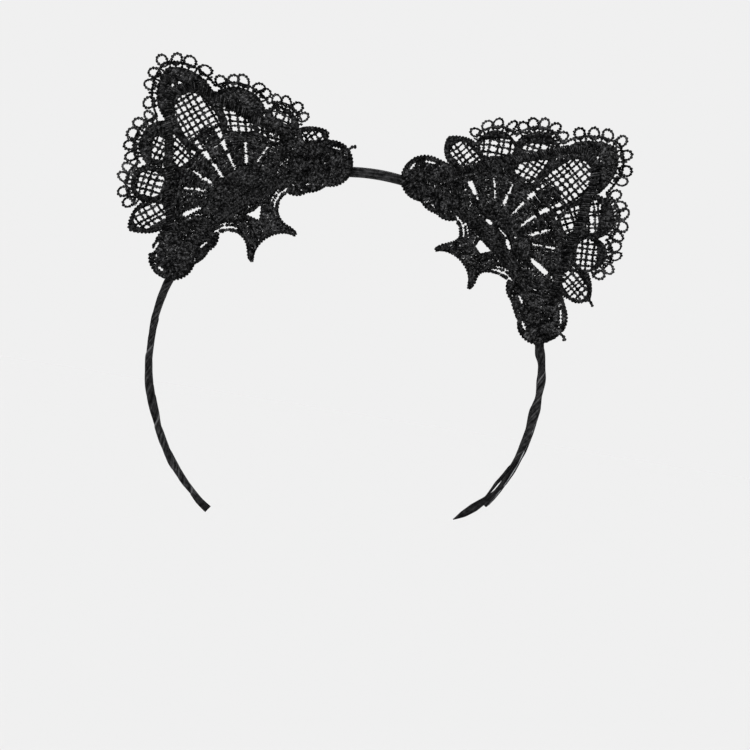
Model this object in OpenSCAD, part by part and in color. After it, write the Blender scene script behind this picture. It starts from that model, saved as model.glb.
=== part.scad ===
// Cat-ear headband: a spring band wrapped in satin ribbon, with two wired lace ears.
// +Z is up on the wearer's head and -Y is the front. The origin is the centre of the
// band's arch. Left and right are as seen from the front, so left is at -X.
// Angles along the band are counted from the top, clockwise as seen from the front.

/* [Band] */
// Radius of the band's middle line
arch_r = 70; // [67:1:73]
// Thickness of the spring-steel strip
strip_t = 1; // [0.8:0.1:1.2]
// Width of the spring-steel strip, from front to back
strip_w = 5; // [4.6:0.1:5.4]
// Thickness of the satin ribbon wrapped round the strip
ribbon_t = 0.6; // [0.45:0.05:0.7]
// Angle from the top to the strip's left end
left_end = 143; // [136:1:146]
// Angle from the top to the strip's right end
right_end = 125; // [120:1:130]
// Angle from the top to the line where each side flexes
flex_angle = 6; // [4:0.5:6]

/* [Ribbon ends] */
// Length of the glued fold over the left end
fold_l = 2.4; // [1.5:0.1:4]
// Length of the loose pointed tail at the right end
tail_l = 12; // [8:0.5:16]
// Width of the loose tail
tail_w = 3.6; // [3:0.1:4.4]

/* [Ears] */
// Angle from the top to the middle of each ear
ear_angle = 40; // [39.5:0.5:42]
// Thickness of the net ground
net_t = 0.5; // [0.3:0.1:0.6]
// Thickness of the satin-stitched lace
satin_t = 1; // [0.6:0.1:1.4]
// Thickness of the raised petals
petal_t = 0.7; // [0.4:0.1:1]
// Spacing of the net's threads
net_pitch = 2.4; // [2.2:0.1:3]
// Width of a net thread
net_w = 0.7; // [0.5:0.1:0.9]

/* [Ear wires] */
// Radius of the ear's shaping wire
wire_r = 0.6; // [0.4:0.05:0.7]
// Radius over the wire's thread wrapping
wrap_r = 1.1; // [0.9:0.05:1.2]
// Radius of the bend at the ear's tip
tip_bend = 8; // [7.5:0.1:8.5]
// Height of that bend's centre above the band's middle line
tip_bend_h = 37; // [36.5:0.1:37.5]
// Angle between each leg and the ear's middle line
leg_tilt = 30; // [29:0.5:31]
// Thickness of the sewing thread
thread_t = 0.45; // [0.35:0.05:0.5]
// Spacing of the stitches along the wire
stitch_pitch = 3; // [2.5:0.1:4]

/* [Hidden] */

$fn = 48;
left = -1;
right = 1;
slack = 0.02;               // clearance between pieces that lie against each other
flex_gap = 0.4;             // clearance at each flexing line, for the ends to turn in
overlap = 0.5;              // how far shapes of one piece run into each other
degrees = 180 / PI;

satin = [0.13, 0.13, 0.14];
lace = [0.05, 0.05, 0.055];
thread = [0.09, 0.09, 0.1];
steel = [0.62, 0.64, 0.66];

// Half sizes of the wrapped band: thickness in the arch's plane, and width front to back
band_t2 = strip_t / 2 + ribbon_t;
band_w2 = strip_w / 2 + 0.75 * ribbon_t;
band_corner = 0.7;
crown_end = flex_angle - flex_gap / arch_r * degrees;
fold_end = left_end + fold_l / arch_r * degrees;
tail_t = 0.5;

// Depths in front of the arch's middle plane
wire_z = band_w2 - wrap_r;
net_z = band_w2 + thread_t + 0.05;
satin_z = net_z + net_t;
petal_z = satin_z + satin_t;

// Each wire leg runs from the tip's bend down to the band, where its foot lies along it
foot_r = arch_r + band_t2 + wrap_r + slack;
foot_end = 32;            // angle from the ear's middle line where a foot ends
leg_x = tip_bend * cos(leg_tilt);
leg_y = tip_bend_h + tip_bend * sin(leg_tilt);
leg_half = (leg_y + arch_r) * cos(leg_tilt) - leg_x * sin(leg_tilt);
leg_l = leg_half - sqrt(leg_half ^ 2 - leg_x ^ 2 - (leg_y + arch_r) ^ 2 + foot_r ^ 2);
foot_start = atan2(leg_x + leg_l * sin(leg_tilt), leg_y + arch_r - leg_l * cos(leg_tilt));
heel = 0.6;                 // how far a foot runs back past its leg, against its radius
lash_w = 0.6;               // a lashing turn's width along the band, in degrees
lash_step = 0.75;
lash_turns = 4;

// The lace motif's right half, with x along the band and y above its middle line
tip_half_w = 9.8;
tip_h = 40;
tip_arc_r = 14.5;
tip_shift = tip_half_w - tip_arc_r;
tip_window = 6.3;
lobe_2 = [14.6, 31.1];
lobe_2_r = 8.2;
lobe_2_root = [15, 26.5];   // the lobe's part towards the petals
lobe_2_root_r = 7.6;
lobe_3 = [24.8, 21.4];
lobe_3_r = 6.8;
leaf = [29.5, 11.3];
leaf_l2 = 10.3;
leaf_w2 = 6;
leaf_window = 0.62;         // size of the leaf's window against the leaf's own
wing = [32.5, -4.5];
wing_r = 7.9;
side_arch = [14, -12.5];    // the round cut between each wing and the crescent
side_arch_r = 6.8;
seam = 0.8;                 // how far the net runs under the satin round it
bar_out = 5.5;              // the base bar's edges, outside and inside the middle line
bar_in = 3.7;
cord_gap = 1.6;             // from the satin's edge to the middle of the picot cord
cord_w = 0.8;
loop_gap = 3.7;             // from the satin's edge to the middle of each picot
loop_r = 2.3;
loop_w = 0.7;

// ---- placing -----------------------------------------------------------------------

// Draws about the arch's centre, x to the right and y up, with depth towards the front
module round_arch(side = 0) {
    rotate([0, side * ear_angle, 0]) rotate([90, 0, 0]) children();
}

// Draws in one ear's plane, from the band's middle line on the ear's own middle line
module on_ear(side) {
    round_arch(side) translate([0, arch_r, 0]) children();
}

// Sweeps a profile, drawn at its radius, between two angles from the top
module sweep(from, to) {
    rotate_extrude(angle = to - from, start = 90 - to, $fn = 180) children();
}

module both_halves() {
    children();
    mirror([1, 0, 0]) children();
}

module layer(z, t) {
    translate([0, 0, z]) linear_extrude(t) children();
}

// ---- outlines ----------------------------------------------------------------------

module rounded(w, h, r) {
    square([w, h - 2 * r], center = true);
    square([w - 2 * r, h], center = true);
    for (x = [-1, 1], y = [-1, 1])
        translate([x * (w / 2 - r), y * (h / 2 - r)]) circle(r);
}

// A leaf with two pointed ends on the x axis
module pointed_leaf(l2, w2) {
    r = (l2 ^ 2 + w2 ^ 2) / (2 * w2);
    intersection() {
        translate([0, w2 - r]) circle(r);
        translate([0, r - w2]) circle(r);
    }
}

module capsule(from, to, r) {
    along = to - from;
    translate(from) circle(r);
    translate(to) circle(r);
    translate(from) rotate(atan2(along[1], along[0]))
        translate([0, -r]) square([norm(along), 2 * r]);
}

// A petal that widens from its root to its round tip, with a slight neck below the tip
module petal(root, tip, root_r, tip_r) {
    along = tip - root;
    neck = 0.9 * tip_r;
    translate(tip) circle(tip_r);
    translate(root) rotate(atan2(along[1], along[0]))
        polygon([[0, -root_r], [norm(along), -neck], [norm(along), neck], [0, root_r]]);
}

// A pie slice about the origin, between two angles from the top
module slice(from, to, reach) {
    steps = ceil((to - from) / 30);
    polygon([
        [0, 0],
        for (i = [0 : steps]) let (a = from + (to - from) * i / steps)
            reach * [sin(a), cos(a)],
    ]);
}

module ring(r, w) {
    difference() {
        circle(r + w / 2);
        circle(r - w / 2);
    }
}

module tip_outline() {
    translate([0, tip_h]) intersection() {
        translate([tip_shift, 0]) circle(tip_arc_r);
        translate([-tip_shift, 0]) circle(tip_arc_r);
        translate([-tip_half_w, 0]) square([2 * tip_half_w, 2 * tip_arc_r]);
    }
    polygon([[-tip_half_w, tip_h], [-8, 27], [8, 27], [tip_half_w, tip_h]]);
}

module satin_outline() {
    tip_outline();
    both_halves() {
        translate(lobe_2) circle(lobe_2_r);
        translate(lobe_2_root) circle(lobe_2_root_r);
        translate(lobe_3) circle(lobe_3_r);
        translate(leaf) pointed_leaf(leaf_l2, leaf_w2);
    }
}

module tip_opening(grow = 0) {
    translate([0, tip_h - 3]) circle(tip_window + grow);
    polygon([
        [-5 - grow, 22 - grow], [5 + grow, 22 - grow],
        [tip_window + grow, tip_h - 3], [-tip_window - grow, tip_h - 3],
    ]);
}

module lobe_2_opening(grow = 0) {
    capsule([16.4, 31.2], [11.8, 26.4], 4.4 + grow);
}

module lobe_3_opening(grow = 0) {
    translate([25.1, 21.3]) circle(4.2 + grow);
}

module leaf_opening(grow = 0) {
    translate(leaf) pointed_leaf(leaf_l2 * leaf_window + grow, leaf_w2 * leaf_window + grow);
}

module thorned_crescent() {
    difference() {
        polygon([
            [-9.6, -20.5], [9.6, -20.5], [8.4, -14], [14, -9],
            [14, -3], [-14, -3], [-14, -9], [-8.4, -14],
        ]);
        translate([0, -25]) circle(10.3);
        both_halves() translate(side_arch) circle(side_arch_r);
    }
}

// The wings over the band, the bar between them and the thorned crescent below it
module base_outline() {
    difference() {
        translate([0, -arch_r]) intersection() {
            circle(arch_r + bar_out, $fn = 180);
            slice(-20, 20, 2 * arch_r);
        }
        translate([0, -arch_r]) circle(arch_r - bar_in, $fn = 180);
    }
    both_halves() {
        translate(wing) circle(wing_r);
        translate([25.5, -2.8]) circle(8.5);
        translate([20, -2.7]) circle(6.8);
    }
    thorned_crescent();
}

module slit(at, l2, turn = 0) {
    translate(at) rotate(turn) pointed_leaf(l2, 0.5);
}

module base_holes() {
    polygon([[-2.6, -4.4], [0, -9.4], [2.6, -4.4]]);
    both_halves() {
        translate([37.2, -7.6]) circle(1);
        slit([21.7, -6.8], 1.8, -9);
        slit([4.8, 2.1], 1.3, -4);
        translate(side_arch) intersection() {
            ring(side_arch_r + 1, 0.5);
            slice(-62, -12, 20);
        }
    }
    slit([0, 3.6], 2);
}

// ---- the picot edge ----------------------------------------------------------------

module picot() {
    difference() {
        circle(loop_r, $fn = 32);
        circle(loop_r - loop_w, $fn = 32);
    }
}

// One lobe's edge: a cord round it, bars from the cord to the satin, and the loops
module picot_arc(centre, r, from, to, first, step, loops) {
    translate(centre) {
        intersection() {
            ring(r + cord_gap, cord_w);
            slice(from, to, 2 * r + 20);
        }
        for (a = [first - step / 2 : step / 2 : to]) rotate(-a)
            translate([-loop_w / 2, r - overlap]) square([loop_w, cord_gap + overlap]);
        for (i = [0 : loops - 1]) rotate(-first - i * step)
            translate([0, r + loop_gap]) picot();
    }
}

module picot_edge() {
    both_halves() {
        picot_arc([tip_shift, tip_h], tip_arc_r, 15.2, 87, 32, 16.8, 3);
        picot_arc(lobe_2, lobe_2_r, -18, 96, -3, 20, 5);
        picot_arc(lobe_3, lobe_3_r, -4, 108, 21, 26, 4);
    }
    translate([0, tip_h + sqrt((tip_arc_r + loop_gap) ^ 2 - tip_shift ^ 2)]) picot();
}

// ---- the band ----------------------------------------------------------------------

module strip_profile() {
    translate([arch_r - strip_t / 2, -strip_w / 2]) square([strip_t, strip_w]);
}

module band_profile() {
    translate([arch_r, 0]) rounded(2 * band_t2, 2 * band_w2, band_corner);
}

// A side's own stretch of a profile, from its flexing line to its end
module side_stretch(side, end) {
    if (side == left) sweep(-end, -flex_angle) children();
    else sweep(flex_angle, end) children();
}

module strip(side, end) {
    color(steel) round_arch() side_stretch(side, end) strip_profile();
}

module ribbon(side, end) {
    color(satin) round_arch() side_stretch(side, end) difference() {
        band_profile();
        strip_profile();
    }
}

module crown_strip() {
    color(steel) round_arch() sweep(-crown_end, crown_end) strip_profile();
}

module crown_ribbon() {
    color(satin) round_arch() sweep(-crown_end, crown_end) difference() {
        band_profile();
        strip_profile();
    }
}

// The ribbon's end, folded over the strip and glued
module left_ribbon_fold() {
    color(satin) round_arch() sweep(-fold_end, -left_end) band_profile();
}

// The ribbon's loose end, twisted so that its flat side faces the front
module right_ribbon_tail() {
    hidden = 2;             // the part of the leaf's outline that would lie inside the band
    l2 = (tail_l + hidden) / 2;
    color(satin) round_arch() rotate(-right_end) translate([0, arch_r, -tail_t / 2])
        linear_extrude(tail_t) intersection() {
            translate([l2 - hidden, 0]) pointed_leaf(l2, tail_w / 2);
            translate([slack, -tail_w]) square([tail_l, 2 * tail_w]);
        }
}

// ---- an ear's wire -----------------------------------------------------------------

// The whole run of the shaping wire at a given radius: tip bend, two legs, two feet
module wire_run(r) {
    translate([0, tip_bend_h, wire_z]) sweep(leg_tilt - 90, 90 - leg_tilt)
        translate([tip_bend, 0]) circle(r);
    both_halves() {
        translate([leg_x, leg_y, wire_z]) rotate([0, 0, leg_tilt]) rotate([90, 0, 0])
            cylinder(r = r, h = leg_l);
        translate([0, -arch_r, wire_z])
            sweep(foot_start - heel * r / foot_r * degrees, foot_end)
                translate([foot_r, 0]) circle(r);
    }
}

module ear_wire(side) {
    color(steel) on_ear(side) wire_run(wire_r);
}

module wire_wrap(side) {
    color(thread) on_ear(side) difference() {
        wire_run(wrap_r);
        wire_run(wire_r);
    }
}

// Thread loops that hold the lace to each leg of the wire
module whip_stitches(side) {
    color(thread) on_ear(side) both_halves()
        for (s = [2 : stitch_pitch : leg_l - 4])
            translate([leg_x + s * sin(leg_tilt), leg_y - s * cos(leg_tilt), wire_z])
                rotate([0, 0, leg_tilt]) rotate([90, 0, 0]) linear_extrude(thread_t)
                    ring(wrap_r + slack + thread_t / 2, thread_t);
}

// ---- an ear's lace -----------------------------------------------------------------

module lace_border(side) {
    color(lace) on_ear(side) layer(satin_z, satin_t) difference() {
        satin_outline();
        tip_opening();
        both_halves() {
            lobe_2_opening();
            lobe_3_opening();
            leaf_opening();
        }
        base_outline();
    }
}

// Crossed threads over a square field, turned to lie along their lobe
module net_threads(centre, half, turn) {
    count = ceil(half / net_pitch);
    translate(centre) rotate(turn) for (q = [0, 90], i = [-count : count])
        rotate(q) translate([i * net_pitch, 0]) square([net_w, 4 * half], center = true);
}

module net_pane(centre, half, turn) {
    layer(net_z, net_t) intersection() {
        net_threads(centre, half, turn);
        children();
    }
}

module lace_net(side) {
    color(lace) on_ear(side) {
        net_pane([0, 34], 12, 0) tip_opening(seam);
        both_halves() {
            net_pane([14, 29], 8, -30) lobe_2_opening(seam);
            net_pane([25.1, 21.3], 5, -45) lobe_3_opening(seam);
            net_pane(leaf, 7, 0) leaf_opening(seam);
        }
    }
}

module lace_fan(side) {
    color(lace) on_ear(side) layer(petal_z, petal_t) difference() {
        union() {
            petal([0, 2], [0, 26], 1.3, 3.3);
            both_halves() {
                petal([3, 2], [8.6, 20.2], 1.2, 3.2);
                petal([5.5, 2], [16, 16.4], 1.2, 2.9);
                petal([8, 2.4], [21.5, 10.4], 1.2, 2.8);
            }
            translate([0, -arch_r]) intersection() {
                ring(arch_r + 3.2, 3.6, $fn = 180);
                slice(-9, 9, 2 * arch_r);
            }
        }
        base_holes();
    }
}

module lace_base(side) {
    color(lace) on_ear(side) layer(net_z, net_t + satin_t) difference() {
        base_outline();
        base_holes();
    }
}

module lace_picots(side) {
    color(lace) on_ear(side) layer(satin_z, satin_t * 0.8) difference() {
        picot_edge();
        satin_outline();
    }
}

// ---- an ear's threads --------------------------------------------------------------

// One turn of thread round the band, reaching out to a given radius
module thread_turn(at, width, outer) {
    inner = arch_r - band_t2 - slack;
    sweep(at, at + width) translate([(inner + outer) / 2, 0]) difference() {
        rounded(outer - inner + 2 * thread_t, 2 * (band_w2 + slack + thread_t), band_corner);
        rounded(outer - inner, 2 * (band_w2 + slack), band_corner / 4);
    }
}

// Turns that bind one of the wire's feet to the band, towards x's sign
module lashing(side, towards) {
    color(thread) round_arch(side)
        for (i = [0 : lash_turns - 1]) {
            at = foot_end - 0.3 - lash_w - i * lash_step;
            thread_turn(towards > 0 ? at : -at - lash_w, lash_w, foot_r + wrap_r + slack);
        }
}

// Turns that hold the lace's base to the band, between the wire's feet
module base_stitches(side) {
    color(thread) round_arch(side) for (at = [-24 : 6 : 24])
        thread_turn(at - lash_w / 2, lash_w, arch_r + band_t2 + slack);
}

// A cut thread that stands out of the lace's edge
module cut_thread(from, to) {
    along = to - from;
    translate([from[0], from[1], satin_z + satin_t / 2])
        rotate([0, 0, atan2(along[1], along[0])]) rotate([0, 90, 0])
            cylinder(r = thread_t, h = norm(along));
}

module thread_tails(side) {
    color(thread) on_ear(side) {
        difference() {
            cut_thread([39, -4.8], [43.2, -4.2]);
            layer(net_z, net_t + satin_t + petal_t) translate(wing) circle(wing_r);
        }
        if (side == right) difference() {
            cut_thread([38.6, 11.3], [41.8, 11]);
            layer(net_z, net_t + satin_t + petal_t)
                translate(leaf) pointed_leaf(leaf_l2, leaf_w2);
        }
    }
}

// ---- the assembly ------------------------------------------------------------------

crown_strip();
strip(left, left_end);  // left_strip
strip(right, right_end);  // right_strip
crown_ribbon();
ribbon(left, left_end);  // left_ribbon
ribbon(right, right_end);  // right_ribbon
left_ribbon_fold();
right_ribbon_tail();
ear_wire(left);  // left_ear_wire
wire_wrap(left);  // left_wire_wrap
whip_stitches(left);  // left_whip_stitches
lace_border(left);  // left_lace_border
lace_net(left);  // left_lace_net
lace_fan(left);  // left_lace_fan
lace_base(left);  // left_lace_base
lace_picots(left);  // left_lace_picots
lashing(left, 1);  // left_inner_lashing
lashing(left, -1);  // left_outer_lashing
base_stitches(left);  // left_base_stitches
thread_tails(left);  // left_thread_tail
ear_wire(right);  // right_ear_wire
wire_wrap(right);  // right_wire_wrap
whip_stitches(right);  // right_whip_stitches
lace_border(right);  // right_lace_border
lace_net(right);  // right_lace_net
lace_fan(right);  // right_lace_fan
lace_base(right);  // right_lace_base
lace_picots(right);  // right_lace_picots
lashing(right, -1);  // right_inner_lashing
lashing(right, 1);  // right_outer_lashing
base_stitches(right);  // right_base_stitches
thread_tails(right);  // right_thread_tails
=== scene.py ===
import math

import bpy
import numpy as np
from mathutils import Matrix, Vector


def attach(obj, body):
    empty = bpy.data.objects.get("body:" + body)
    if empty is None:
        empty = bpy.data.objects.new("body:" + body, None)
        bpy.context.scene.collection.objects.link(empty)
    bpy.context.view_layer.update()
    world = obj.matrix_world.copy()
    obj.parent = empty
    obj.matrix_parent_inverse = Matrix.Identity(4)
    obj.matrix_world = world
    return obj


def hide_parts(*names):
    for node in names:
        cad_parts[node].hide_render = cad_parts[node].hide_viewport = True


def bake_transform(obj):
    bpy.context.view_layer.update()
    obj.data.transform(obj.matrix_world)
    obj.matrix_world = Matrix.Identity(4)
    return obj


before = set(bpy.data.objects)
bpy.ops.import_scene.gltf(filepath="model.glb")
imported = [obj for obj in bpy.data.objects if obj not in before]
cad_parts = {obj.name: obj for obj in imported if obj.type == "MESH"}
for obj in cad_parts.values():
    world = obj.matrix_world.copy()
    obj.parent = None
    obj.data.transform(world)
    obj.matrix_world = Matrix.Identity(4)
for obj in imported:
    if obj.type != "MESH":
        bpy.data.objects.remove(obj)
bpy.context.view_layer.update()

# Everything below is drawn in millimetres and turned into metres by the placing
# functions. An ear is drawn flat, as (u, r, d): u runs along the band, r is the distance
# from the arch's centre and d is the depth in front of the arch's middle plane. The band
# is drawn as (rho, along, d): rho is the distance from the arch's centre and along is the
# length along the arch from its top.
MM = 0.001
ARCH_R = 70.0
EAR_ANGLE = 40.0                    # degrees from the top, as each arm's end is too
SIDES = {"left": -1, "right": 1}
HALVES = (-1, 1)
BAND_END = {"left": 143.0, "right": 125.0}
RIBBON_W = 13.0

# ---- camera ---------------------------------------------------------------------------

LEAN = math.radians(9.3)            # how far the object leans clockwise in the picture
DISTANCE = 0.744
SEEN_WIDTH = 0.26775                # of the arch's plane, across the picture
LOOKS_AT = (0.0107, -0.0025)        # to the right of the arch's centre and above it
SENSOR = 36
FAR = 100


def add_object(name, data):
    made = bpy.data.objects.new(name, data)
    bpy.context.scene.collection.objects.link(made)
    return made


right_hand = Vector((math.cos(LEAN), 0, math.sin(LEAN)))
upward = Vector((-math.sin(LEAN), 0, math.cos(LEAN)))
centre = right_hand * LOOKS_AT[0] + upward * LOOKS_AT[1]
camera = add_object("camera", bpy.data.cameras.new("camera"))
camera.data.sensor_width = SENSOR
camera.data.lens = SENSOR * DISTANCE / SEEN_WIDTH
camera.data.clip_end = FAR
camera.matrix_world = Matrix((
    (right_hand.x, upward.x, 0, centre.x),
    (right_hand.y, upward.y, -1, centre.y - DISTANCE),
    (right_hand.z, upward.z, 0, centre.z),
    (0, 0, 0, 1),
))
bpy.context.scene.camera = camera

# ---- flat shapes, as signed distances in millimetres ------------------------------------


def disc(c, r):
    return lambda u, v: np.hypot(u - c[0], v - c[1]) - r


def capsule(a, b, ra, rb=None):
    """A rod with round ends, whose radius may change from a to b."""
    grow = 0 if rb is None else rb - ra

    def distance(u, v):
        du, dv = b[0] - a[0], b[1] - a[1]
        t = np.clip(((u - a[0]) * du + (v - a[1]) * dv) / (du * du + dv * dv), 0, 1)
        return np.hypot(u - a[0] - t * du, v - a[1] - t * dv) - ra - grow * t

    return distance


def strokes(*rows):
    """A union of discs (u, v, radius) and rods (u, v, u, v, radius, radius at the end)."""
    return union(*(capsule(row[:2], row[2:4], *row[4:]) if len(row) > 3 else disc(row[:2], row[2])
                   for row in rows))


def polygon(*points):
    def distance(u, v):
        near = np.full(np.shape(u), 1e9)
        sign = np.ones(np.shape(u))
        for (ax, ay), (bx, by) in zip(points, points[-1:] + points[:-1]):
            ex, ey, wx, wy = bx - ax, by - ay, u - ax, v - ay
            t = np.clip((wx * ex + wy * ey) / (ex * ex + ey * ey), 0, 1)
            near = np.minimum(near, (wx - ex * t) ** 2 + (wy - ey * t) ** 2)
            above, below, beside = v >= ay, v < by, ex * wy > ey * wx
            crossed = (above & below & beside) | (~above & ~below & ~beside)
            sign = np.where(crossed, -sign, sign)
        return sign * np.sqrt(near)

    return distance


def union(*shapes):
    return lambda u, v: np.minimum.reduce([f(u, v) for f in shapes])


def common(*shapes):
    return lambda u, v: np.maximum.reduce([f(u, v) for f in shapes])


def cut(shape, *holes):
    return lambda u, v: np.maximum.reduce([shape(u, v)] + [-f(u, v) for f in holes])


def grown(shape, by):
    return lambda u, v: shape(u, v) - by


def twin(shape):
    return lambda u, v: shape(np.abs(u), v)


def above(height):
    return lambda u, v: height - v


def below(height):
    return lambda u, v: v - height


def beside(half):
    """The half plane where u has the sign of half."""
    return lambda u, v: -half * u


# ---- the lace motif ----------------------------------------------------------------------

TIP_ARC = ((-4.7, 110), 14.5)
TIP_FOOT = 109.9
LEAF_U, LEAF_V, LEAF_R = 29.5, 81.3, 11.84
LEAF_RISE = LEAF_R - 6.0
LOBE_2 = ((14.6, 101.1), 8.2)
LOBE_3 = ((24.8, 91.4), 6.8)
tip = union(
    common(twin(disc(*TIP_ARC)), above(110)),
    polygon((-9.8, 110.1), (-8, 97), (8, 97), (9.8, 110.1), (9.1, 114), (-9.1, 114)),
)
leaf = common(
    disc((LEAF_U, LEAF_V + LEAF_RISE), LEAF_R), disc((LEAF_U, LEAF_V - LEAF_RISE), LEAF_R),
)
lobe_2 = union(disc(*LOBE_2), disc((15, 96.5), 7.6))
lobe_3 = disc(*LOBE_3)
shoulder = polygon(
    (3.5, 90.5), (8.5, 99), (20, 98), (27, 86), (30, 76.5), (17, 76.8), (21, 81.5), (15, 88),
    (9, 91.5),
)
leg = strokes((8.9, 104, 7.3, 97, 1.1), (7.3, 97, 5.2, 92.3, 1.1, 0.85))
satin_outline = union(tip, twin(union(lobe_2, lobe_3, leaf)))

petal_lines = (
    ((0, 73), (0.3, 96), 1.3, 2.75),
    ((3.2, 73), (7.5, 89.3), 1.2, 3.5),
    ((5.8, 73), (14, 85.6), 1.2, 3.4),
    ((8.5, 72.4), (20, 80.4), 1.2, 3.2),
)
petals = [capsule(*line) for line in petal_lines]
fan_gaps = twin(strokes(
    (2.5, 80, 3.1, 86, 0.22, 0.42), (3.4, 88.6, 3.8, 91.6, 0.6, 0.8),
    (6.9, 80.5, 8.3, 83.4, 0.2, 0.3), (8.8, 84.4, 10.4, 87.3, 0.3),
    (10.6, 79.4, 13, 81.4, 0.2, 0.3), (14, 82.2, 16.4, 84, 0.3),
))
SLOTS = {
    "left": strokes((-14.9, 74.9, -20.6, 75.8, 0.4, 0.9), (-11.2, 73.9, -14.6, 74.2, 0.35)),
    "right": strokes((-16.8, 75.6, -20.6, 76.6, 0.7, 1.0), (-15, 74.9, 0.5),
                     (13.4, 75.2, 20.6, 76, 0.4, 1.0), (23.6, 76.6, 25.1, 76.2, 0.4)),
}
SIDE_ARCH = ((14.2, 57), 6.8)
WINGS = (((32.5, 65.2), 8.2), ((25.5, 67.2), 8.4), ((20, 67.3), 6.8))
WING_RIM = ((29.5, 74.8), (36.0, 71.6), (39.4, 67.6), (39.6, 63.6))
wing_edge = union(*(capsule(a, b, 1.0) for a, b in zip(WING_RIM, WING_RIM[1:])))


def bar(u, v):
    radius = np.hypot(u, v)
    turn = np.abs(np.degrees(np.arctan2(u, v)))
    return np.maximum.reduce([radius - 75.6, 66.3 - radius, (turn - 20) * 1.2])


crescent = cut(
    polygon((-9.2, 48.8), (9.2, 48.8), (9.6, 50.5), (8.5, 54), (8, 57), (14, 61), (14, 67),
            (-14, 67), (-14, 61), (-8, 57), (-8.5, 54), (-9.6, 50.5)),
    disc((0, 43.7), 10.2), twin(disc(*SIDE_ARCH)),
)
wings = twin(union(*(disc(*wing) for wing in WINGS), wing_edge))
base_outline = union(bar, wings, crescent, twin(capsule((12, 73), (24, 73.9), 1.3)))


def arch_slit(radius, width, start, end):
    """A slit that follows the side arch's edge, between two angles off upright."""
    (cu, cv), _ = SIDE_ARCH

    def distance(u, v):
        turn = np.degrees(np.arctan2(cu - u, v - cv))
        ring = np.abs(np.hypot(u - cu, v - cv) - radius) - width / 2
        return np.maximum(ring, np.maximum(start - turn, turn - end) * radius * 0.0175)

    return distance


def half_only(shape, side):
    """A shape drawn for positive u, on one side only."""
    return lambda u, v: np.maximum(shape(side * u, v), -side * u - 0.01)


# What shows through each half of each ear: the windows over the nets, with the nets' turns
# in radians. The left ear's right half is pushed together, so it shows less.
OPENINGS = {
    ("left", -1): (
        (capsule((15.7, 102.4), (18, 99.1), 2.3), -0.6),
        (polygon((9.9, 102.8), (8.7, 97), (6.4, 92.8), (8, 91.4), (14.8, 91.2), (15, 95),
                 (12.6, 99.6)), -0.35),
        (capsule((24.7, 91), (25.6, 92), 4.4), -0.75),
        (capsule((28.4, 81.3), (33, 81.8), 3.8), 0.02),
    ),
    ("left", 1): (
        (polygon((10.2, 103.6), (8.7, 97), (7.2, 94), (10.3, 91.4), (16.2, 91.2), (16, 97),
                 (13.6, 101)), -0.35),
        (capsule((18.4, 91.2), (21, 87.4), 2.3), -0.5),
        (capsule((26.2, 95.6), (27.5, 92.6), 2.2), -0.75),
        (capsule((31.6, 83.2), (35.2, 81.4), 2.3), 0.1),
    ),
    ("right", -1): (
        (capsule((12.8, 106.4), (18.2, 100.2), 1.9), -0.6),
        (polygon((10.4, 103.2), (8.7, 97), (6.6, 93), (8.5, 91.5), (15, 91.2), (15.3, 95),
                 (13, 99.8)), -0.35),
        (capsule((23.3, 94), (26.2, 89.9), 3.3), -0.75),
        (capsule((26.6, 81.5), (32.6, 81.3), 3.5), 0.02),
    ),
    ("right", 1): (
        (capsule((12.4, 105.2), (18.2, 98.6), 1.9), -0.6),
        (polygon((9.5, 103), (7.7, 97), (5.8, 93.3), (8, 91.2), (14.8, 90.8), (15.2, 94.6),
                 (13, 99.6)), -0.35),
        (capsule((23.2, 92.8), (26.8, 89.5), 3.4), -0.75),
        (capsule((28.9, 81), (34.4, 80.6), 3.5), 0.02),
    ),
}
TIP_OPENING = union(
    disc((0, 106.6), 6.1),
    polygon((6.1, 107), (6.7, 101), (6.2, 97), (4.4, 92.6), (-4.4, 92.6), (-6.2, 97),
            (-6.7, 101), (-6.1, 107)),
)
TIP_HOLES = {
    "left": strokes((-1.3, 117.6, 0.5), (1.1, 117.0, 0.45)),
    "right": strokes((-0.6, 116.8, 0.35), (1.0, 116.9, 0.35)),
}
BASE_HOLES = {
    "left": union(
        polygon((-2.6, 64.9), (0.6, 60.2), (3.9, 64.3), (3.4, 65.0), (0.5, 64.4)),
        strokes((-37.6, 70.3, -34.4, 72, 0.5), (-38.5, 64.4, -37.9, 62.8, 0.6),
                (-22, 63, -19.2, 63.5, 0.45), (36.4, 69.5, 38.3, 67.6, 0.4),
                (30.4, 66.3, 32.8, 66.1, 0.3), (21.2, 63.1, 23, 62.5, 0.35)),
    ),
    "right": union(
        polygon((-3.4, 66.4), (-2.6, 63.2), (0.6, 62.8), (2.6, 66.5)),
        strokes((-6.9, 72.4, -5, 72.9, 0.75), (3.5, 72.9, 6, 71.9, 0.75),
                (-2, 73.8, 2, 73.8, 0.42), (4.3, 76, 0.45),
                (-38.8, 66.4, -38.4, 63.9, 0.5), (-37, 69.5, -34.4, 71.6, 0.5),
                (34.6, 71.2, 37.8, 68.6, 0.5), (20.8, 63.6, 23.4, 62.9, 0.5),
                (28.6, 60, 31.4, 59.3, 0.55), (36.5, 61, 37.9, 63.2, 0.45),
                (-24, 61.2, -22.3, 61.4, 0.35)),
    ),
}


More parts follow.
